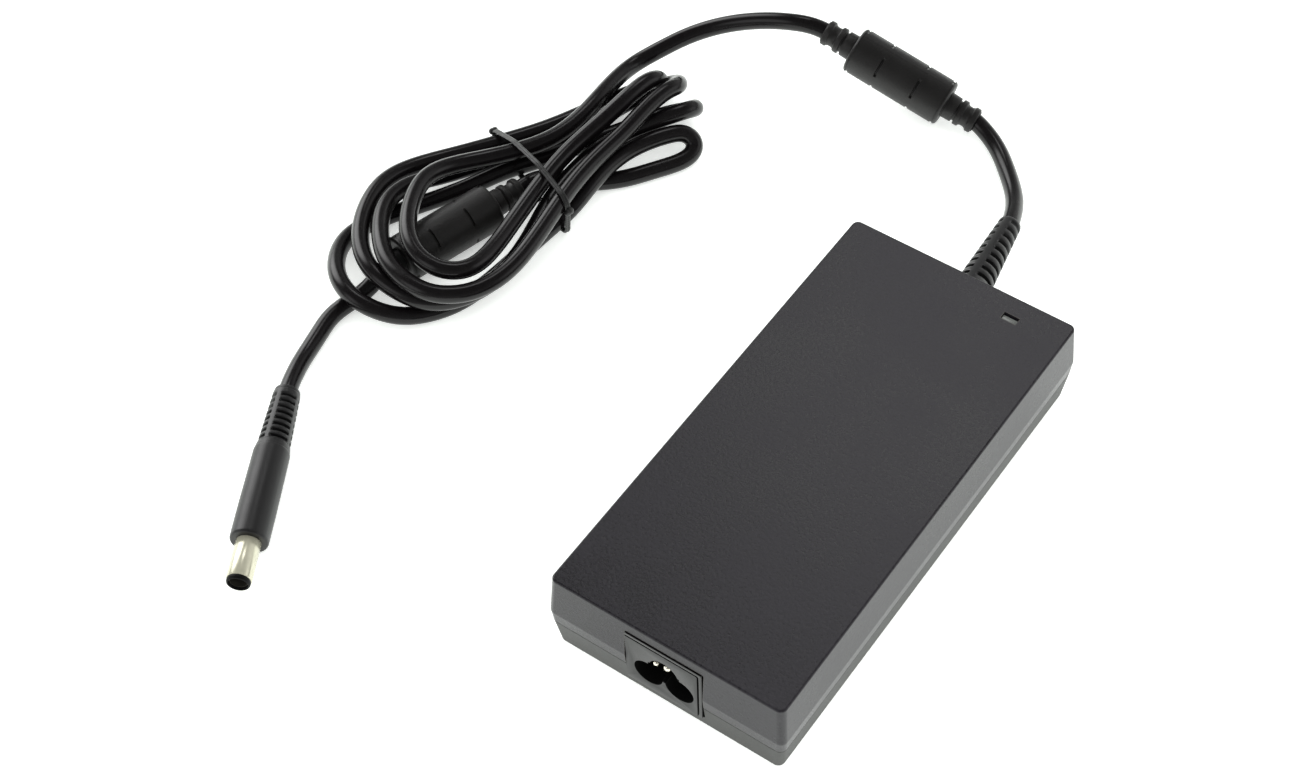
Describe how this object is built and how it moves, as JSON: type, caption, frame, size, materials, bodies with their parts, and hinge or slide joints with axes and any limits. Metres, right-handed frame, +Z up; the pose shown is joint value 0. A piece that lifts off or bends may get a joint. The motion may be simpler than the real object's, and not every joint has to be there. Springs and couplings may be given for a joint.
{
  "type": "laptop power adapter",
  "caption": "Slim two-shell mains power adapter with a cloverleaf inlet, output lead carrying moulded ferrite cores, a tied cable coil and a round barrel plug.",
  "frame": {"origin": "centre of the case's underside, on the table plane", "axes": "+X across the case, +Y from the mains inlet to the output lead, +Z up"},
  "size_m": [0.219, 0.2743, 0.03],
  "materials": {
    "case_top": "fine spark-eroded grain, satin",
    "case_bottom": "fine grain, satin",
    "blank_label": "smooth matt film, blank",
    "light_pipe": "translucent, unlit",
    "lamp_body": "clear epoxy",
    "inlet_plastic": "smooth satin",
    "contact_metal": "nickel-plated brass",
    "wire_insulation": "smooth",
    "board": "solder mask",
    "insulation_film": "smooth film",
    "spreader_metal": "bare sheet",
    "heatsink_metal": "bare sheet",
    "screw_steel": "zinc plated",
    "ferrite": "sintered, matt",
    "bobbin_plastic": "satin",
    "winding_tape": "polyester tape",
    "copper_wire": "enamelled wire",
    "toroid_coating": "epoxy coating",
    "capacitor_sleeve": "shrink sleeve",
    "film_capacitor": "satin",
    "ceramic_disc": "lacquered",
    "dark_ceramic": "lacquered",
    "chip_epoxy": "moulded epoxy",
    "fuse_body": "clear",
    "optocoupler_body": "moulded epoxy",
    "relief_rubber": "satin moulded",
    "cable_jacket": "satin PVC with soft highlights",
    "overmould": "leathery matt grain",
    "plug_plastic": "fine matt grain",
    "barrel_nickel": "nickel plate, fine turning lines",
    "tip_insulator": "smooth",
    "tie_elastic": "woven elastic cord"
  },
  "bodies": {
    "adapter": {"top_shell": "case_top", "bottom_shell": "case_bottom", "underside_label": "blank_label", "led_lens": "light_pipe", "led_lamp": "lamp_body", "inlet_housing": "inlet_plastic", "inlet_live_pin": "contact_metal", "inlet_neutral_pin": "contact_metal", "inlet_earth_pin": "contact_metal", "inlet_wires": "wire_insulation", "main_pcb": "board", "lower_insulation_sheet": "insulation_film", "upper_insulation_sheet": "insulation_film", "lower_heat_spreader": "spreader_metal", "upper_heat_spreader": "spreader_metal", "primary_heatsink": "heatsink_metal", "secondary_heatsink": "heatsink_metal", "heatsink_screws": "screw_steel", "transformer_core": "ferrite", "transformer_bobbin": "bobbin_plastic", "transformer_winding": "winding_tape", "pfc_choke_core": "ferrite", "pfc_choke_winding": "copper_wire", "common_mode_choke_core": "toroid_coating", "common_mode_choke_winding": "copper_wire", "bulk_capacitors": "capacitor_sleeve", "output_capacitors": "capacitor_sleeve", "x_capacitor": "film_capacitor", "y_capacitors": "ceramic_disc", "bridge_rectifier": "chip_epoxy", "power_transistors": "chip_epoxy", "output_rectifiers": "chip_epoxy", "fuse": "fuse_body", "varistor": "ceramic_disc", "thermistor": "dark_ceramic", "optocouplers": "optocoupler_body", "control_chips": "chip_epoxy", "output_wires": "wire_insulation", "output_bend_relief": "relief_rubber"},
    "lead": {"lead_cable": "cable_jacket", "ferrite_cover_1": "overmould", "ferrite_core_1": "ferrite", "flex_cable": "cable_jacket"},
    "coil": {"coil_cable": "cable_jacket", "ferrite_cover_2": "overmould", "ferrite_core_2": "ferrite", "plug_bend_relief": "relief_rubber"},
    "plug": {"plug_grip": "plug_plastic", "plug_wires": "wire_insulation", "plug_barrel": "barrel_nickel", "plug_insulator": "tip_insulator", "plug_inner_contact": "barrel_nickel", "plug_centre_pin": "barrel_nickel"},
    "tie": {"cable_tie": "tie_elastic"}
  },
  "joints": [
    {"name": "lead_swing", "type": "hinge", "parent": "adapter", "child": "lead", "pos_m": [0.00009, 0.07946, 0.01474], "axis": [0, 0, 1], "range_deg": [-30, 30], "deforming": ["output_bend_relief"]},
    {"name": "coil_lift", "type": "hinge", "parent": "lead", "child": "coil", "pos_m": [-0.1277, 0.1333, 0.0136], "axis": [-1, 0, 0], "range_deg": [0, 35], "deforming": ["flex_cable"]},
    {"name": "plug_swing", "type": "hinge", "parent": "coil", "child": "plug", "pos_m": [-0.14644, -0.06311, 0.00565], "axis": [0, 0, 1], "range_deg": [-45, 45], "deforming": ["plug_bend_relief"]},
    {"name": "tie_slide", "type": "slide", "parent": "coil", "child": "tie", "axis": [0.4131, 0.9107, 0], "range_m": [0, 0.004]}
  ]
}
